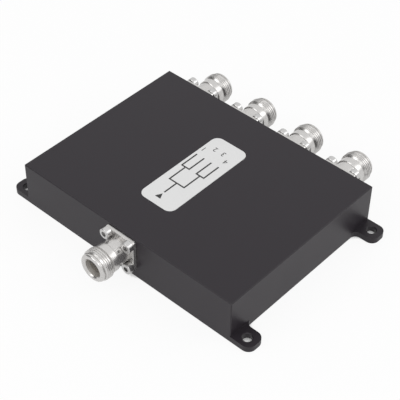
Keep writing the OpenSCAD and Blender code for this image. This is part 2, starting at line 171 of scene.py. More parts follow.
seen, mirrored = backdrop_rays(tree)
looking = put(tree, "ShaderNodeTexCoord").outputs["Generated"]
upwards = put(tree, "ShaderNodeSeparateXYZ", {0: looking}).outputs["Z"]
towards = put(tree, "ShaderNodeVectorMath", {0: looking, 1: DOORWAY}, operation="DOT_PRODUCT")
door = ramp(tree, towards.outputs["Value"], DOOR_EDGE, DOOR_CORE, 1.0, DOOR_LIGHT)
room = calc(tree, "MULTIPLY", ramp(tree, upwards, 0.0, WALL_TOP, WALL_GREY, 1.0), door)
shown = calc(tree, "ADD", seen, calc(tree, "MULTIPLY", mirrored, room))
rest = calc(tree, "SUBTRACT", 1.0, calc(tree, "MAXIMUM", seen, mirrored))
strength = calc(tree, "ADD", shown, calc(tree, "MULTIPLY", rest, WORLD_LIGHT))
studio = put(tree, "ShaderNodeBackground", {"Color": grey(1.0), "Strength": strength})
put(tree, "ShaderNodeOutputWorld", {"Surface": studio.outputs[0]})
print("world: white to the eye, light at", WORLD_LIGHT)

# %% Floor
FLOOR_HALF = 8.0
FLOOR_DROP = 0.05 * MM
FLOOR_GLOW, MIRROR_GLOW = 0.9, 0.6
# How far a hole's rim shades the floor, and the shares of open sky between which the floor's glow returns.
HOLE_REACH, HOLE_DARK, HOLE_LIGHT = 6.0 * MM, 0.35, 0.50

floor_mesh = bpy.data.meshes.new("floor")
corners = [(sx * FLOOR_HALF, sy * FLOOR_HALF, -FLOOR_DROP) for sx, sy in ((-1, -1), (1, -1), (1, 1), (-1, 1))]
floor_mesh.from_pydata(corners, [], [(0, 1, 2, 3)])
floor = bpy.data.objects.new("floor", floor_mesh)
bpy.context.scene.collection.objects.link(floor)
sweep = bpy.data.materials.new("white_sweep")
sweep.use_nodes = True
tree = sweep.node_tree
tree.nodes.clear()
matt = put(tree, "ShaderNodeBsdfDiffuse", {"Color": grey(0.98)})
glow = put(tree, "ShaderNodeEmission", {"Color": grey(1.0), "Strength": 1.0})
seen, mirrored = backdrop_rays(tree)
open_sky = put(tree, "ShaderNodeAmbientOcclusion", {"Distance": HOLE_REACH}, samples=16).outputs["AO"]
seen_glow = calc(tree, "MULTIPLY", seen, ramp(tree, open_sky, HOLE_DARK, HOLE_LIGHT, 0.0, FLOOR_GLOW))
share = calc(tree, "ADD", seen_glow, calc(tree, "MULTIPLY", mirrored, MIRROR_GLOW))
above = put(tree, "ShaderNodeMixShader", {0: share, 1: matt.outputs[0], 2: glow.outputs[0]})
clear = put(tree, "ShaderNodeBsdfTransparent")
back = put(tree, "ShaderNodeNewGeometry").outputs["Backfacing"]
sides = put(tree, "ShaderNodeMixShader", {0: back, 1: above.outputs[0], 2: clear.outputs[0]})
put(tree, "ShaderNodeOutputMaterial", {"Surface": sides.outputs[0]})
floor_mesh.materials.append(sweep)
floor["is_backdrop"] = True
print("floor:", 2 * FLOOR_HALF, "m wide, clear from below")

# %% Lamps
# Each lamp: place in metres, side in metres, power in watts.
LAMPS = {
    "back_right_softbox": ((0.78, 0.70, 0.745), 0.64, 2.1),
    "front_left_softbox": ((-0.45, -0.92, 0.78), 0.65, 2.4),
    "camera_side_softbox": ((0.60, -0.66, 0.86), 0.45, 1.6),
}
for name, (place, side, power) in LAMPS.items():
    lamp = bpy.data.lights.new(name, "AREA")
    lamp.size, lamp.energy = side, power
    holder = bpy.data.objects.new(name, lamp)
    bpy.context.scene.collection.objects.link(holder)
    holder.location = place
    holder.rotation_euler = Vector(place).to_track_quat("Z", "Y").to_euler()
print("lamps:", ", ".join(LAMPS))

# %% [markdown]
# ## Finishes
# Every finish starts from the same three observations of a real surface: its tone drifts a little over
# some millimetres, its gloss changes from grain to grain, and the grain itself stands up slightly. Two
# noise patterns on the object's own coordinates give these. A stretch draws the grain out into the fine
# rings of a turned part or the lines of a drawn sheet.


# %% A finish with tone, gloss and grain
GRAIN_HEIGHT = 0.02 * MM
NOISE_LOW, NOISE_HIGH = 0.3, 0.7


def finish(name, tones, rough, grain, stretch=(1, 1, 1), bump=0.1, metal=0.0, drift=45.0):
    """Makes a finish and returns the material, its shader, and the noise that its tone drifts by."""
    material = bpy.data.materials.new(name)
    material.use_nodes = True
    tree = material.node_tree
    shader = tree.nodes["Principled BSDF"]
    shader.inputs["Metallic"].default_value = metal
    place = put(tree, "ShaderNodeTexCoord").outputs["Object"]
    drawn = put(tree, "ShaderNodeMapping", {"Vector": place, "Scale": stretch}).outputs[0]
    cloud = put(tree, "ShaderNodeTexNoise", {"Vector": place, "Scale": drift, "Detail": 3.0}).outputs["Fac"]
    fine = put(tree, "ShaderNodeTexNoise", {"Vector": drawn, "Scale": grain, "Detail": 3.0}).outputs["Fac"]
    tree.links.new(blend_colours(tree, cloud, *tones), shader.inputs["Base Color"])
    both = calc(tree, "ADD", calc(tree, "MULTIPLY", fine, 0.5), calc(tree, "MULTIPLY", cloud, 0.5))
    tree.links.new(ramp(tree, both, NOISE_LOW, NOISE_HIGH, *rough), shader.inputs["Roughness"])
    lifted = put(tree, "ShaderNodeBump", {"Height": fine, "Strength": bump, "Distance": GRAIN_HEIGHT})
    tree.links.new(lifted.outputs[0], shader.inputs["Normal"])
    return material, shader, cloud


def tint_over(tree, shader, factor, tone):
    """Lays a second tone over a finish by a factor."""
    first = shader.inputs["Base Color"].links[0].from_socket
    tree.links.new(blend_colours(tree, factor, first, tone), shader.inputs["Base Color"])


print("finish recipe ready")

# %% [markdown]
# ### Black anodised aluminium
# The box is blasted to a fine satin before it is dyed black, so it mirrors only broad light. Handling
# polishes its edges first. The Bevel node finds them: it gives a normal that rounds the edges off, and
# where that differs from the true normal, the black turns a little greyer and smoother.

# %% Black anodised
EDGE_REACH, EDGE_WEAR, WORN_GREY = 0.5 * MM, 0.6, 0.05
# The cosines between the two normals on an unworn face and on a fully worn edge.
UNWORN, WORN = 0.97, 0.80
# The noise between which wear comes in patches, and the share of it that stays everywhere.
PATCH_LOW, PATCH_HIGH, PATCH_LEAST = 0.35, 0.65, 0.3

black_anodised, shader, cloud = finish(
    "satin_black_anodised",
    ((0.0184, 0.0146, 0.0193, 1), (0.0228, 0.0186, 0.0239, 1)),
    (0.36, 0.46),
    grain=2600.0,
    bump=0.25,
)
shader.inputs["Specular IOR Level"].default_value = 0.31
tree = black_anodised.node_tree
rounded_normal = put(tree, "ShaderNodeBevel", {"Radius": EDGE_REACH}, samples=4).outputs[0]
true_normal = put(tree, "ShaderNodeNewGeometry").outputs["True Normal"]
agree = put(tree, "ShaderNodeVectorMath", {0: rounded_normal, 1: true_normal}, operation="DOT_PRODUCT")
worn = ramp(tree, agree.outputs["Value"], UNWORN, WORN, 0.0, EDGE_WEAR)
patchy = calc(tree, "MULTIPLY", worn, ramp(tree, cloud, PATCH_LOW, PATCH_HIGH, PATCH_LEAST, 1.0))
tint_over(tree, shader, patchy, grey(WORN_GREY))
print("finish:", black_anodised.name)

# %% [markdown]
# ### Metals
# The shells are turned brass under bright nickel, with rings so fine that they only soften the mirror.
# Screws are plain steel, contacts are gold plated, and the lines on the board are tinned copper. A metal
# shows what is around it, so most of its look is its tint and its gloss. Grooves and recesses get painted
# shade: ambient occlusion finds them, and an attribute named bore marks the deep inside of a socket, and
# there a darker tone is painted in. Their plating is also thin, so there it turns rougher and less metallic.


# %% Nickel, steel, gold and copper
TURNED = (0.06, 1.0, 0.06)
# How far a crevice is looked for, and the shares of open sky in a deep one and on a free face.
CREVICE_REACH, CREVICE_DEEP, CREVICE_OPEN = 0.6 * MM, 0.35, 0.85
DULL_ROUGH, DULL_METAL = 0.5, 0.3


def shade_and_dull_crevices(material, shader, tone, strongest):
    """Paints shade into a metal's grooves and wherever its mesh says bore, and dulls its gloss there."""
    tree = material.node_tree
    reach = {"Distance": CREVICE_REACH}
    open_sky = put(tree, "ShaderNodeAmbientOcclusion", reach, samples=8, only_local=True).outputs["AO"]
    hidden = ramp(tree, open_sky, CREVICE_DEEP, CREVICE_OPEN, strongest, 0.0)
    bore = put(tree, "ShaderNodeAttribute", attribute_name="bore").outputs["Fac"]
    crevice_shade_and_dull = calc(tree, "MAXIMUM", hidden, bore)
    # Painted shade: the tone turns darker in grooves and in the bore.
    tint_over(tree, shader, crevice_shade_and_dull, tone)
    smooth = shader.inputs["Roughness"].links[0].from_socket
    rougher = calc(tree, "ADD", smooth, calc(tree, "MULTIPLY", crevice_shade_and_dull, DULL_ROUGH))
    tree.links.new(calc(tree, "MINIMUM", rougher, DULL_ROUGH), shader.inputs["Roughness"])
    metal = shader.inputs["Metallic"].default_value
    tree.links.new(ramp(tree, crevice_shade_and_dull, 0.0, 1.0, metal, DULL_METAL), shader.inputs["Metallic"])


bright_nickel, shader, _ = finish(
    "bright_nickel",
    (grey(0.57, 0.02), grey(0.63, 0.02)),
    (0.22, 0.32),
    grain=5200.0,
    stretch=TURNED,
    bump=0.05,
    metal=0.86,
    drift=160.0,
)
# Painted shade: the nickel's grooves and bore turn to this darker tone, the deepest by 0.35.
shade_and_dull_crevices(bright_nickel, shader, (0.31, 0.29, 0.26, 1), 0.35)
screw_steel, shader, _ = finish(
    "screw_steel",
    (grey(0.54, 0.01), grey(0.62, 0.01)),
    (0.22, 0.32),
    grain=3800.0,
    stretch=(1, 1, 0.3),
    bump=0.08,
    metal=1.0,
    drift=260.0,
)
# Painted shade: the screws' recesses and grooves turn to this dark tone, the deepest by 0.9.
shade_and_dull_crevices(screw_steel, shader, (0.12, 0.115, 0.11, 1), 0.9)
gold_contact = finish(
    "gold_plating",
    ((0.66, 0.45, 0.20, 1), (0.74, 0.52, 0.24, 1)),
    (0.2, 0.3),
    grain=4200.0,
    stretch=TURNED,
    bump=0.05,
    metal=1.0,
    drift=300.0,
)[0]
tinned_copper = finish(
    "tinned_copper",
    ((0.66, 0.40, 0.25, 1), (0.74, 0.52, 0.37, 1)),
    (0.28, 0.42),
    grain=1800.0,
    bump=0.2,
    metal=1.0,
    drift=110.0,
)[0]
print("finishes: nickel, steel, gold, copper")

# %% [markdown]
# ### Plastics, board and label
# The insulators are a waxy white resin that lets a little light in. The board is a cream laminate whose
# glass weave shows as two crossed waves. The label is a satin film, and its print a dull black ink.

# %% Resin, board and label
white_resin, shader, _ = finish(
    "white_resin", (grey(0.78, 0.01), grey(0.84, 0.01)), (0.42, 0.55), grain=1500.0, drift=120.0
)
shader.inputs["Subsurface Weight"].default_value = 0.15
shader.inputs["Subsurface Radius"].default_value = (0.001, 0.001, 0.001)
shader.inputs["Subsurface Scale"].default_value = 0.5

# A wave turns by 20 radians over one unit at scale 1. Here it turns by one radian over WEAVE_STEP.
WEAVE_STEP, WAVE_RATE, WEAVE_SHARE = 0.6 * MM, 20, 0.2
board_laminate, shader, _ = finish(
    "board_laminate", ((0.52, 0.47, 0.28, 1), (0.60, 0.55, 0.36, 1)), (0.35, 0.5), grain=900.0
)
tree = board_laminate.node_tree
place = put(tree, "ShaderNodeTexCoord").outputs["Object"]
wave = {"Vector": place, "Scale": 1 / (WEAVE_STEP * WAVE_RATE), "Distortion": 0.4}
waves = [put(tree, "ShaderNodeTexWave", wave, bands_direction=way).outputs["Fac"] for way in "XY"]
woven = calc(tree, "MULTIPLY", calc(tree, "ADD", *waves), WEAVE_SHARE)
tint_over(tree, shader, woven, (0.70, 0.66, 0.50, 1))

resistor_body = finish("resistor_body", (grey(0.02), grey(0.03)), (0.4, 0.6), grain=3000.0, bump=0.2)[0]
label_film = finish(
    "label_film", (grey(0.78), grey(0.82)), (0.38, 0.5), grain=1200.0, bump=0.06, drift=70.0
)[0]
label_ink = finish("label_ink", (grey(0.018), grey(0.03)), (0.5, 0.65), grain=2500.0, drift=400.0)[0]
print("finishes: resin, laminate, resistor, film, ink")

# %% [markdown]
# ## Solids that stay
# The box, its cover, the board and what sits inside the sockets are right as CAD made them. They only
# change their material. The last word of a solid's name tells which one it gets.

# %% Dress the solids
END_FINISH = {
    "housing": black_anodised,
    "cover": black_anodised,
    "shell": bright_nickel,
    "screws": screw_steel,
    "insulator": white_resin,
    "contact": gold_contact,
    "traces": tinned_copper,
    "board": board_laminate,
    "resistors": resistor_body,
    "label": label_film,
}
for name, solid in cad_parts.items():
    for material_slot in solid.material_slots:
        material_slot.material = END_FINISH[name.split("_")[-1]]
print("dressed:", len(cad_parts), "solids")

# %% [markdown]
# ## Turning by rule
# A turned part is a profile that goes once round its axis. The tree below takes the profile as a line of
# points, with the radius in X and the height in Z, lays a grid with one row for each point, and bends the
# grid round. A thread is the same rule with one more term: the radius also depends on the height less the
# lead of one turn, so the groove climbs as it goes round.


# %% The turning tree
def new_tree(name, inputs):
    """Starts a Geometry Nodes tree with named inputs and one output."""
    tree = bpy.data.node_groups.new(name, "GeometryNodeTree")
    for label, kind in inputs:
        tree.interface.new_socket(label, in_out="INPUT", socket_type="NodeSocket" + kind)
    tree.interface.new_socket("Geometry", in_out="OUTPUT", socket_type="NodeSocketGeometry")
    return tree, put(tree, "NodeGroupInput").outputs, put(tree, "NodeGroupOutput").inputs


def whole(tree, operation, a, b):
    """Adds an Integer Math node and returns its result."""
    return put(tree, "FunctionNodeIntegerMath", {0: a, 1: b}, operation=operation).outputs[0]


WELD = 0.5e-6
turning, given, made = new_tree(
    "turned_part",
    [
        ("Profile", "Geometry"),
        ("Segments", "Int"),
        ("Thread Radius", "Float"),
        ("Thread Pitch", "Float"),
        ("Thread Depth", "Float"),
        ("Root Flat", "Float"),
        ("Flank Run", "Float"),
        ("Thread Start", "Float"),
        ("Thread End", "Float"),
    ],
)
tree = turning
rows = put(tree, "GeometryNodeAttributeDomainSize", {"Geometry": given["Profile"]}).outputs["Point Count"]
ring = whole(tree, "ADD", given["Segments"], 1)
grid = put(tree, "GeometryNodeMeshGrid", {"Vertices X": rows, "Vertices Y": ring}).outputs["Mesh"]
index = put(tree, "GeometryNodeInputIndex").outputs[0]
turn = calc(tree, "DIVIDE", whole(tree, "MODULO", index, ring), given["Segments"])
point = put(
    tree,
    "GeometryNodeSampleIndex",
    {
        "Geometry": given["Profile"],
        "Value": put(tree, "GeometryNodeInputPosition").outputs[0],
        "Index": whole(tree, "DIVIDE_FLOOR", index, ring),
    },
    data_type="FLOAT_VECTOR",
).outputs["Value"]
radius, _, height = put(tree, "ShaderNodeSeparateXYZ", {0: point}).outputs
pitch = given["Thread Pitch"]
climb = calc(tree, "FRACT", calc(tree, "SUBTRACT", calc(tree, "DIVIDE", height, pitch), turn))
aside = calc(tree, "MULTIPLY", calc(tree, "ABSOLUTE", calc(tree, "SUBTRACT", climb, 0.5)), pitch)
half_root = calc(tree, "MULTIPLY", given["Root Flat"], 0.5)
crest_at = calc(tree, "ADD", half_root, given["Flank Run"])
root = calc(tree, "SUBTRACT", given["Thread Radius"], given["Thread Depth"])
thread = ramp(tree, aside, half_root, crest_at, root, given["Thread Radius"])
after_start = calc(tree, "GREATER_THAN", height, given["Thread Start"])
threaded = calc(tree, "MULTIPLY", after_start, calc(tree, "LESS_THAN", height, given["Thread End"]))
cut = calc(tree, "MULTIPLY", calc(tree, "MAXIMUM", calc(tree, "SUBTRACT", radius, thread), 0.0), threaded)
kept = calc(tree, "SUBTRACT", radius, cut)
angle = calc(tree, "MULTIPLY", turn, math.tau)
bent = put(
    tree,
    "ShaderNodeCombineXYZ",
    {
        0: calc(tree, "MULTIPLY", kept, calc(tree, "COSINE", angle)),
        1: calc(tree, "MULTIPLY", kept, calc(tree, "SINE", angle)),
        2: height,
    },
).outputs[0]
moved = put(tree, "GeometryNodeSetPosition", {"Geometry": grid, "Position": bent}).outputs[0]
welded = put(tree, "GeometryNodeMergeByDistance", {"Geometry": moved, "Distance": WELD}).outputs[0]
tree.links.new(welded, made["Geometry"])
print("tree:", turning.name, "with", len(turning.nodes), "nodes")

# %% [markdown]
# ### From a tree to a plain mesh
# A modifier runs the tree. Its inputs are set by the identifier of each socket before it is first
# evaluated, the result is copied as a plain mesh, and the modifier goes. Faces are shaded smooth, apart
# from the edges where two of them meet at a clear angle.


# %% Run a tree
SHARP = math.radians(32)


def line_mesh(points):
    """A mesh of points joined one after the other, given in millimetres."""
    mesh = bpy.data.meshes.new("profile")
    mesh.from_pydata([Vector(p) * MM for p in points], [(i, i + 1) for i in range(len(points) - 1)], [])
    return mesh


def grow(base, tree, **values):
    """Runs a tree on a mesh and returns the result as a plain mesh."""
    holder = bpy.data.objects.new("holder", base)
    bpy.context.scene.collection.objects.link(holder)
    run = holder.modifiers.new(tree.name, "NODES")
    run.node_group = tree
    for item in tree.interface.items_tree:
        label = item.name.lower().replace(" ", "_")
        if item.in_out == "INPUT" and label in values:
            run[item.identifier] = values[label]
    bpy.context.view_layer.update()
    result = holder.evaluated_get(bpy.context.evaluated_depsgraph_get())
    mesh = bpy.data.meshes.new_from_object(result)
    holder.modifiers.clear()
    bpy.data.objects.remove(holder)
    bpy.data.meshes.remove(base)
    return mesh


def settle(mesh):
    """Turns all faces outwards and shades them smooth between clear edges."""
    bm = bmesh.new()
    bm.from_mesh(mesh)
    bmesh.ops.recalc_face_normals(bm, faces=bm.faces)
    open_edges = sum(not e.is_manifold for e in bm.edges)
    bm.to_mesh(mesh)
    bm.free()
    mesh.shade_smooth()
    mesh.set_sharp_from_angle(angle=SHARP)
    return open_edges


def add_piece(name, mesh, slot, *nodes):
    """Puts a finished mesh in the scene in place of CAD nodes, on the one body that the object has."""
    mesh.name = name
    piece = bpy.data.objects.new(name, mesh)
    bpy.context.scene.collection.objects.link(piece)
    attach(piece, "root")
    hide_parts(*nodes)


print("ready to run trees")

# %% [markdown]
# ## Socket shells
# Each shell is one turned piece with a square flange: barrel, collar, undercut, thread, groove and a
# rounded nose with a deep mouth. Real turned edges are never quite sharp, so every corner of the profile
# is broken by a small round, which draws the thin bright lines that metal shows. The thread's stretch is
# sampled densely instead, because the groove climbs through it, and it is bevelled at both its ends.
# The sizes are those of the CAD solid, apart from five that were set from the photograph after it was made:
# where the collar ends and the thread begins, the undercut's radius, the bevel behind the collar, and the
# flange's corners. Each of them differs by less than a millimetre.


# %% Profile of a shell
def soften(points, reach, steps=3):
    """Breaks each inner corner of a profile by a short curve."""
    soft = [points[0]]
    for before, corner, after in zip(points, points[1:], points[2:]):
        arms = [(Vector(p) - Vector(corner)) for p in (before, after)]
        start, end = (Vector(corner) + a.normalized() * min(reach, 0.45 * a.length) for a in arms)
        for i in range(steps + 1):
            u = i / steps
            soft.append(tuple((1 - u) ** 2 * start + 2 * u * (1 - u) * Vector(corner) + u**2 * end))
    return soft + [points[-1]]


FLANGE_T = 2.0
STEM_R, BORE_R, MOUTH_R = 2.25, 3.5, 4.05
STOP_AT, SOCKET_L = 10.3, 19.4
LEAD_R, LEAD_L, MOUTH_BEVEL = 4.6, 2.7, 0.7
NOSE_R, NOSE_ROUND, GROOVE_R = 7.25, 1.2, 6.95
BARREL_R, COLLAR_R, RELIEF_R = 6.6, 7.2, 7.0
BARREL_END, COLLAR_END, RELIEF_END, THREAD_END, GROOVE_END = 8.4, 12.15, 12.3, 17.5, 18.0
THREAD_R, THREAD_DEPTH, THREAD_LEAD, THREAD_PITCH = 7.95, 0.65, 1.1, 25.4 / 24
COLLAR_BEVEL = 0.4
NOSE_STEPS = 10
ROWS_PER_TURN = 20
EDGE_BREAK = 0.12
ROOT_R = THREAD_R - THREAD_DEPTH

bore_line = soften(
    [
        (STEM_R, 0, 0),
        (STEM_R, 0, FLANGE_T),
        (BORE_R, 0, FLANGE_T),
        (BORE_R, 0, STOP_AT),
        (MOUTH_R, 0, STOP_AT),
        (MOUTH_R, 0, SOCKET_L - LEAD_L),
        (LEAD_R, 0, SOCKET_L - MOUTH_BEVEL),
        (LEAD_R + MOUTH_BEVEL, 0, SOCKET_L),
        (NOSE_R - NOSE_ROUND, 0, SOCKET_L),
    ],
    EDGE_BREAK,
)
nose_line = []
for i in range(1, NOSE_STEPS):
    a = math.radians(90 * i / NOSE_STEPS)
    r = NOSE_R - NOSE_ROUND + NOSE_ROUND * math.sin(a)
    nose_line.append((r, 0, SOCKET_L - NOSE_ROUND + NOSE_ROUND * math.cos(a)))
groove_line = soften(
    [
        (NOSE_R, 0, SOCKET_L - NOSE_ROUND),
        (NOSE_R, 0, GROOVE_END),
        (GROOVE_R, 0, GROOVE_END),
        (GROOVE_R, 0, THREAD_END),
        (ROOT_R, 0, THREAD_END),
    ],
    EDGE_BREAK,
)
thread_line = []
row_count = round((THREAD_END - RELIEF_END) / THREAD_PITCH * ROWS_PER_TURN)
for i in range(1, row_count):
    s = THREAD_END + (RELIEF_END - THREAD_END) * i / row_count
    front_bevel = ROOT_R + THREAD_DEPTH * (THREAD_END - s) / THREAD_LEAD
    back_bevel = RELIEF_R + (s - RELIEF_END)
    thread_line.append((min(THREAD_R, front_bevel, back_bevel), 0, s))
collar_line = soften(
    [
        (RELIEF_R, 0, RELIEF_END),
        (RELIEF_R, 0, COLLAR_END),
        (COLLAR_R, 0, COLLAR_END),
        (COLLAR_R, 0, BARREL_END + COLLAR_BEVEL),
        (COLLAR_R - COLLAR_BEVEL, 0, BARREL_END),
        (BARREL_R, 0, BARREL_END),
        (BARREL_R, 0, FLANGE_T),
    ],
    EDGE_BREAK,
)
shell_profile = bore_line + nose_line + groove_line + thread_line + collar_line
print("shell profile:", len(shell_profile), "points")

# %% [markdown]
# ### Thread form and flange
# The thread has 24 turns to the inch and 60 degree flanks. The photograph shows its grooves only faintly,
# so they are cut to about half the standard depth, between broad flat crests: this is a fit to the look, and
# no measure of the real thread. The turned part is open at two rims, round the stem hole at the back and
# round the barrel at the front. The flange closes it: a plate with bevelled corners and four holes, filled
# between its outline, its holes and those two rims, so that the shell is one closed solid.

# %% Turn the shell
SHELL_SEGMENTS = 96
THREAD_CUT, CREST_SHARE, HALF_FLANK = 0.32, 0.42, math.radians(30)
FLANK_RUN = THREAD_CUT * math.tan(HALF_FLANK)
CREST_FLAT = CREST_SHARE * THREAD_PITCH
ROOT_FLAT = THREAD_PITCH - 2 * FLANK_RUN - CREST_FLAT

shell_mesh = grow(
    line_mesh(shell_profile),
    turning,
    segments=SHELL_SEGMENTS,
    thread_radius=THREAD_R * MM,
    thread_pitch=THREAD_PITCH * MM,
    thread_depth=THREAD_CUT * MM,
    root_flat=ROOT_FLAT * MM,
    flank_run=FLANK_RUN * MM,
    thread_start=RELIEF_END * MM,
    thread_end=THREAD_END * MM,
)
print("turned shell:", len(shell_mesh.polygons), "faces")

# %% Close it with the flange
FLANGE_W, FLANGE_BEVEL = 17.5, 0.5
FLANGE_HOLE_R, FLANGE_HOLE_SIDES = 1.6, 24
HEAD_R, HEAD_CLEAR = 2.75, 0.1
FLANGE_SCREW_AT = (BARREL_R + HEAD_CLEAR + HEAD_R) / math.sqrt(2)
FLANGE_EDGE = 0.15
CORNERS = [(sx, sy) for sx in (-1, 1) for sy in (-1, 1)]


def outline(inset, z):
    """Corners of the flange's outline, drawn in by an inset."""
    h, b = FLANGE_W / 2 - inset, FLANGE_BEVEL
    quarter = [(h, b - h), (h, h - b), (h - b, h), (b - h, h)]
    return [(x, y, z) for x, y in quarter] + [(-x, -y, z) for x, y in quarter]


def hole(x, y, z):
    """Points round a screw hole."""
    turns = [math.tau * i / FLANGE_HOLE_SIDES for i in range(FLANGE_HOLE_SIDES)]
    return [(x + FLANGE_HOLE_R * math.cos(a), y + FLANGE_HOLE_R * math.sin(a), z) for a in turns]


bm = bmesh.new()
bm.from_mesh(shell_mesh)
rims = [e for e in bm.edges if e.is_boundary]
front_rim = [e for e in rims if e.verts[0].co.z > FLANGE_T * MM / 2]
back_rim = [e for e in rims if e.verts[0].co.z <= FLANGE_T * MM / 2]


def add_loop(points):
    """Adds a closed line of points to the shell and returns its corners and edges."""
    verts = [bm.verts.new(Vector(p) * MM) for p in points]
    return verts, [bm.edges.new(pair) for pair in zip(verts, verts[1:] + verts[:1])]


def wall(lower, upper):
    """Joins two closed lines by a ring of faces."""
    for i in range(len(lower)):
        bm.faces.new((lower[i - 1], lower[i], upper[i], upper[i - 1]))


levels = [(FLANGE_EDGE, 0), (0, FLANGE_EDGE), (0, FLANGE_T - FLANGE_EDGE), (FLANGE_EDGE, FLANGE_T)]
outlines = [add_loop(outline(*level)) for level in levels]
for lower, upper in zip(outlines, outlines[1:]):
    wall(lower[0], upper[0])
back_edges, front_edges = back_rim + outlines[0][1], front_rim + outlines[-1][1]
for sx, sy in CORNERS:
    spot = (sx * FLANGE_SCREW_AT, sy * FLANGE_SCREW_AT)
    at_back, at_front = add_loop(hole(*spot, 0)), add_loop(hole(*spot, FLANGE_T))
    wall(at_back[0], at_front[0])
    back_edges, front_edges = back_edges + at_back[1], front_edges + at_front[1]
for edges in (back_edges, front_edges):
    bmesh.ops.triangle_fill(bm, edges=edges, use_beauty=True, use_dissolve=False)
bm.to_mesh(shell_mesh)
bm.free()
shell_mesh.materials.clear()
shell_mesh.materials.append(bright_nickel)
print("shell:", len(shell_mesh.polygons), "faces, open edges:", settle(shell_mesh))

# %% Mark its bore
# Painted shade in the bore: how strongly its inside turns darker and duller, and the slack at its rim.
BORE_SHADE_AND_DULL, BORE_SLACK = 0.75, 0.01

deep = shell_mesh.attributes.new("bore", "FLOAT", "POINT")
for vertex, mark in zip(shell_mesh.vertices, deep.data):
    radius = math.hypot(vertex.co.x, vertex.co.y)
    in_bore = radius < (LEAD_R + BORE_SLACK) * MM and vertex.co.z > FLANGE_T * MM
    mark.value = BORE_SHADE_AND_DULL if in_bore else 0.0
print("points in the bore:", sum(mark.value > 0 for mark in deep.data))

# %% [markdown]
# ### Five sockets
# The shell's own axis is Z. Each port stands it on a face of the box: the input looks to the front, and
# the outputs look to the back. The places are read from the CAD solids that the shells stand for.

# %% Place the shells
PORTS = ["input"] + [f"output_{k}" for k in range(1, 5)]


def port_matrix(port):
    """Takes a part from its own axis to a port of the box."""
    low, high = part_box(port + "_shell")
    middle = (low + high) / 2
    front = port == "input"
    face = Vector((middle.x, high.y if front else low.y, middle.z))
    half_turn = Matrix.Rotation(0 if front else math.pi, 4, "Z")
    return Matrix.Translation(face) @ half_turn @ Matrix.Rotation(math.pi / 2, 4, "X")


for port in PORTS:
    mesh = shell_mesh.copy()
    mesh.transform(port_matrix(port))
    add_piece(port + "_threaded_shell", mesh, "bright_nickel", port + "_shell")
bpy.data.meshes.remove(shell_mesh)
print("shells:", ", ".join(PORTS))

# %% [markdown]
# ## Screws
# A screw is turned too, and then a driver's recess is pressed into its head. The tree turns the profile
# once, cuts the recess out of it, and sets a copy on each point that it is given, turned by chance from a
# fixed seed, because no one lines up screw heads.

# %% The screw tree
SCREW_SEGMENTS = 48
screws, given, made = new_tree(
    "driven_screws",
    [
        ("Spots", "Geometry"),
        ("Profile", "Object"),
        ("Recess", "Object"),
        ("Seed", "Int"),
        ("Finish", "Material"),
    ],
)
tree = screws
profile = put(tree, "GeometryNodeObjectInfo", {"Object": given["Profile"]}).outputs["Geometry"]
turned = put(tree, "GeometryNodeGroup", node_tree=turning)
tree.links.new(profile, turned.inputs["Profile"])
turned.inputs["Segments"].default_value = SCREW_SEGMENTS
turned.inputs["Thread Pitch"].default_value = 1.0
recess = put(tree, "GeometryNodeObjectInfo", {"Object": given["Recess"]}).outputs["Geometry"]
carved = put(
    tree,
    "GeometryNodeMeshBoolean",
    {"Mesh 1": turned.outputs[0], "Mesh 2": recess},
    operation="DIFFERENCE",
    solver="EXACT",
).outputs["Mesh"]
chance = put(tree, "FunctionNodeRandomValue", {"Seed": given["Seed"]}, data_type="FLOAT")
chance.inputs[3].default_value = math.tau
turned_by = put(tree, "ShaderNodeCombineXYZ", {2: chance.outputs[1]}).outputs[0]
rotation = put(tree, "FunctionNodeEulerToRotation", {0: turned_by}).outputs[0]
spread = put(
    tree,
    "GeometryNodeInstanceOnPoints",
    {"Points": given["Spots"], "Instance": carved, "Rotation": rotation},
).outputs[0]
real = put(tree, "GeometryNodeRealizeInstances", {"Geometry": spread}).outputs[0]
coated = put(tree, "GeometryNodeSetMaterial", {"Geometry": real, "Material": given["Finish"]}).outputs[0]
tree.links.new(coated, made["Geometry"])
print("tree:", screws.name, "with", len(screws.nodes), "nodes")

# %% [markdown]
# ### Profiles, recesses and places
# The tree reads the profile and the recess from two objects that only live while it runs. A recess is a
# prism that narrows downwards, as the punch that presses it does.


# %% Tools for the screw tree
CUT_OVER = 0.5


def holder_of(mesh):
    """An object that holds a mesh for a tree to read."""
    holder = bpy.data.objects.new("holder", mesh)
    bpy.context.scene.collection.objects.link(holder)
    return holder


def recess_mesh(outline, top, depth, bottom_scale):
    """A prism with a given outline, from a depth below the head's top to just above it."""
    levels = ((bottom_scale, top - depth), (1.0, top), (1.0, top + CUT_OVER))
    verts = [Vector((x * k, y * k, z)) * MM for k, z in levels for x, y in outline]
    n = len(outline)
    faces = [tuple(reversed(range(n))), tuple(range(2 * n, 3 * n))]
    for level in (0, n):
        faces += [(level + i, level + (i + 1) % n, level + n + (i + 1) % n, level + n + i) for i in range(n)]
    mesh = bpy.data.meshes.new("recess")
    mesh.from_pydata(verts, [], faces)
    return mesh


def spots_mesh(spots):
    """A mesh of loose points, given in millimetres."""
    mesh = bpy.data.meshes.new("spots")
    mesh.from_pydata([Vector(p) * MM for p in spots], [], [])
    return mesh


print("screw tools ready")

# %% [markdown]
# ### Flange screws
# Socket cap screws hold the flanges: a cylindrical head with a softly rounded rim and a hexagon recess.

# %% Flange screws
HEAD_H, HEAD_ROUND, HEAD_FOOT, RIM_STEPS = 3.0, 0.4, 0.15, 6
SHANK_R, SHANK_L, TIP = 1.5, 8.0, 0.36
HEX_W, HEX_L, HEX_DRAFT = 2.5, 1.5, 0.97

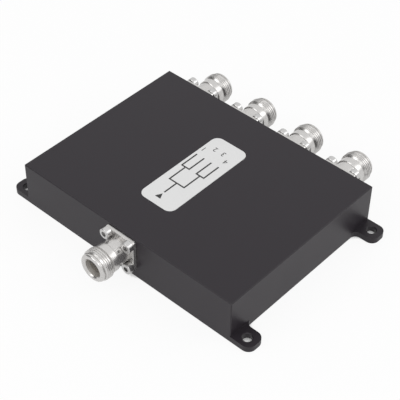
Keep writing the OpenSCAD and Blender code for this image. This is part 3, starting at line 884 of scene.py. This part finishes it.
rim = [math.radians(90 * i / RIM_STEPS) for i in range(RIM_STEPS + 1)]
head = [
    (HEAD_R - HEAD_ROUND + HEAD_ROUND * math.sin(a), 0, HEAD_H - HEAD_ROUND + HEAD_ROUND * math.cos(a))
    for a in rim
]
foot = [(HEAD_R, 0, HEAD_FOOT), (HEAD_R - HEAD_FOOT, 0, 0)]
shank = [(SHANK_R, 0, 0), (SHANK_R, 0, TIP - SHANK_L), (SHANK_R - TIP, 0, -SHANK_L), (0, 0, -SHANK_L)]
cap_profile = holder_of(line_mesh([(0, 0, HEAD_H)] + head + foot + shank))
hex_r = HEX_W / 2 / math.cos(math.pi / 6)
hexagon = [(hex_r * math.cos(i * math.pi / 3), hex_r * math.sin(i * math.pi / 3)) for i in range(6)]
hex_recess = holder_of(recess_mesh(hexagon, HEAD_H, HEX_L, HEX_DRAFT))
for seed, port in enumerate(PORTS):
    corners = [(sx * FLANGE_SCREW_AT, sy * FLANGE_SCREW_AT, FLANGE_T) for sx, sy in CORNERS]
    mesh = grow(
        spots_mesh(corners), screws, profile=cap_profile, recess=hex_recess, seed=seed, finish=screw_steel
    )
    mesh.transform(port_matrix(port))
    gaps = settle(mesh)
    add_piece(port + "_cap_screws", mesh, "screw_steel", port + "_flange_screws")
    print(port, "screws:", len(mesh.polygons), "faces, open edges:", gaps)
for holder in (cap_profile, hex_recess):
    bpy.data.objects.remove(holder)

# %% [markdown]
# ### Cover screws
# Ten countersunk screws hold the cover from below. They come from the same tree, with a cone for a head
# and a cross for a recess, and hang head down: half a turn about X brings them there, and their pattern
# is the same on both sides.

# %% Cover screws
COVER_HEAD_R, COVER_SHANK_R, COVER_SCREW_L, COVER_SINK = 2.35, 1.25, 8.0, 0.1
COVER_INSET, SPLIT_X = 3.0, 30.0
CROSS_HALF, BLADE_HALF, CROSS_L, CROSS_DRAFT = 1.3, 0.3, 0.7, 0.6

low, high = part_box("bottom_cover")
reach_x, reach_y = high.x / MM - COVER_INSET, high.y / MM - COVER_INSET
spots = [(sx * x, sy * reach_y, 0) for sx, sy in CORNERS for x in (reach_x, SPLIT_X)]
spots += [(sx * reach_x, 0, 0) for sx in (-1, 1)]
cone = [
    (0, 0, 0),
    (COVER_HEAD_R, 0, 0),
    (COVER_SHANK_R, 0, COVER_SHANK_R - COVER_HEAD_R),
    (COVER_SHANK_R, 0, -COVER_SCREW_L),
    (0, 0, -COVER_SCREW_L),
]
cone_profile = holder_of(line_mesh(cone))
arm = [(BLADE_HALF, -BLADE_HALF), (CROSS_HALF, -BLADE_HALF), (CROSS_HALF, BLADE_HALF)]
cross = []
for quarter in range(4):
    cosine, sine = ((1, 0), (0, 1), (-1, 0), (0, -1))[quarter]
    cross += [(x * cosine - y * sine, x * sine + y * cosine) for x, y in arm]
cross_recess = holder_of(recess_mesh(cross, 0.0, CROSS_L, CROSS_DRAFT))
mesh = grow(
    spots_mesh(spots),
    screws,
    profile=cone_profile,
    recess=cross_recess,
    seed=len(PORTS),
    finish=screw_steel,
)
mesh.transform(Matrix.Translation((0, 0, COVER_SINK * MM)) @ Matrix.Rotation(math.pi, 4, "X"))
gaps = settle(mesh)
add_piece("countersunk_cover_screws", mesh, "screw_steel", "cover_screws")
for holder in (cone_profile, cross_recess):
    bpy.data.objects.remove(holder)
print("cover screws:", len(spots), "faces:", len(mesh.polygons), "open edges:", gaps)

# %% [markdown]
# ## Label
# A printed film with round corners lies on the roof. Its edge is cut, so it is softly broken at the top.
# The film is a little thinner than its CAD solid, and the ink on it takes up the rest, so the label keeps
# its height. The print is generic: a wedge at the input, a line that splits in four, and a number for
# each output, which reads from the output side as on the real label.

# %% Film
LABEL_R, LABEL_EDGE, INK_T = 4.0, 0.04, 0.015
CORNER_STEPS = 12

low, high = (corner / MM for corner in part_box("label"))
label_middle = (low + high) / 2
half_x, half_y = (high.x - low.x) / 2, (high.y - low.y) / 2
film_top = high.z - INK_T


def rounded_outline(inset, z):
    """Points round the label, drawn in by an inset."""
    points = []
    for quarter in range(4):
        sx, sy = ((1, 1), (-1, 1), (-1, -1), (1, -1))[quarter]
        for i in range(CORNER_STEPS + 1):
            a = math.radians(90 * (quarter + i / CORNER_STEPS))
            x = label_middle.x + sx * (half_x - LABEL_R) + (LABEL_R - inset) * math.cos(a)
            y = label_middle.y + sy * (half_y - LABEL_R) + (LABEL_R - inset) * math.sin(a)
            points.append((x, y, z))
    return points


bm = bmesh.new()
levels = [(0, low.z), (0, film_top - LABEL_EDGE), (LABEL_EDGE, film_top)]
loops = [add_loop(rounded_outline(*level))[0] for level in levels]
for lower, upper in zip(loops, loops[1:]):
    wall(lower, upper)
bm.faces.new(list(reversed(loops[0])))
bm.faces.new(loops[-1])
film = bpy.data.meshes.new("film")
bm.to_mesh(film)
bm.free()
film.materials.append(label_film)
gaps = settle(film)
add_piece("printed_label_film", film, "label_film", "label")
print("film:", len(film.polygons), "faces, open edges:", gaps)

# %% Print
STROKE = 0.8
DIGIT_SIZE = 4.2
# Across the label from its middle, then along it from the input end to the output end.
DIGITS = {"1": (-8.5, 16.0), "2": (-4.1, 19.5), "3": (1.0, 19.5), "4": (5.4, 16.0)}
PRINT_X = -1.5
WEDGE_AT, WEDGE_L, WEDGE_W = -23.5, 3.4, 3.4
TRUNK_AT, FORK_AT, BRANCH_AT, TWIG_AT, TWIG_END = -19.0, -11.0, -6.0, 0.0, 11.0
FORK_HALF, TWIG_HALF = 4.6, 2.3

bm = bmesh.new()


def plate(points):
    """Prints a flat shape with straight sides, as thick as the ink."""
    low_ring = [bm.verts.new(Vector((x, y, film_top)) * MM) for x, y in points]
    high_ring = [bm.verts.new(Vector((x, y, film_top + INK_T)) * MM) for x, y in points]
    wall(low_ring, high_ring)
    bm.faces.new(list(reversed(low_ring)))
    bm.faces.new(high_ring)


def bar(x0, y0, x1, y1):
    """Prints a bar between two corners, given from the label's middle."""
    mx, my = label_middle.x, label_middle.y
    plate([(mx + x0, my + y0), (mx + x1, my + y0), (mx + x1, my + y1), (mx + x0, my + y1)])


def fork(x, y0, y1, spread, y2):
    """Prints a stem that splits into two arms."""
    h = STROKE / 2
    bar(x - h, y0, x + h, y1)
    bar(x - spread - h, y1, x + spread + h, y1 + STROKE)
    for side in (-1, 1):
        bar(x + side * spread - h, y1 + STROKE, x + side * spread + h, y2)


fork(PRINT_X, TRUNK_AT, FORK_AT, FORK_HALF, BRANCH_AT)
for side in (-1, 1):
    fork(PRINT_X + side * FORK_HALF, BRANCH_AT, TWIG_AT, TWIG_HALF, TWIG_END)
mx, my = label_middle.x + PRINT_X, label_middle.y + WEDGE_AT
plate([(mx - WEDGE_W / 2, my), (mx + WEDGE_W / 2, my), (mx, my + WEDGE_L)])

for digit, (x, y) in DIGITS.items():
    glyph = bpy.data.curves.new("digit", "FONT")
    glyph.body, glyph.size = digit, DIGIT_SIZE * MM
    glyph.align_x, glyph.align_y = "CENTER", "CENTER"
    glyph.extrude = INK_T * MM / 2
    holder = bpy.data.objects.new("digit", glyph)
    bpy.context.scene.collection.objects.link(holder)
    bpy.context.view_layer.update()
    shape = bpy.data.meshes.new_from_object(holder.evaluated_get(bpy.context.evaluated_depsgraph_get()))
    place = Vector((label_middle.x + x, label_middle.y + y, film_top + INK_T / 2)) * MM
    shape.transform(Matrix.Translation(place) @ Matrix.Rotation(math.pi, 4, "Z"))
    bm.from_mesh(shape)
    bpy.data.objects.remove(holder)
    bpy.data.meshes.remove(shape)
bmesh.ops.remove_doubles(bm, verts=bm.verts, dist=WELD)
ink = bpy.data.meshes.new("print")
bm.to_mesh(ink)
bm.free()
ink.materials.append(label_ink)
gaps = settle(ink)
add_piece("label_print", ink, "label_film", "label")
print("print:", len(ink.polygons), "faces, open edges:", gaps)

# %% [markdown]
# ## Size and finish
# Dressing the part must not make it bigger. The box of everything that is shown, floor aside, is taken
# again, and how much it has grown over the box of the solids is printed in millimetres for each axis.

# %% Compare the boxes
new_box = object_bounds()
growth = (new_box[1] - new_box[0]) - (cad_box[1] - cad_box[0])
print("grown by mm:", [round(g / MM, 3) for g in growth])
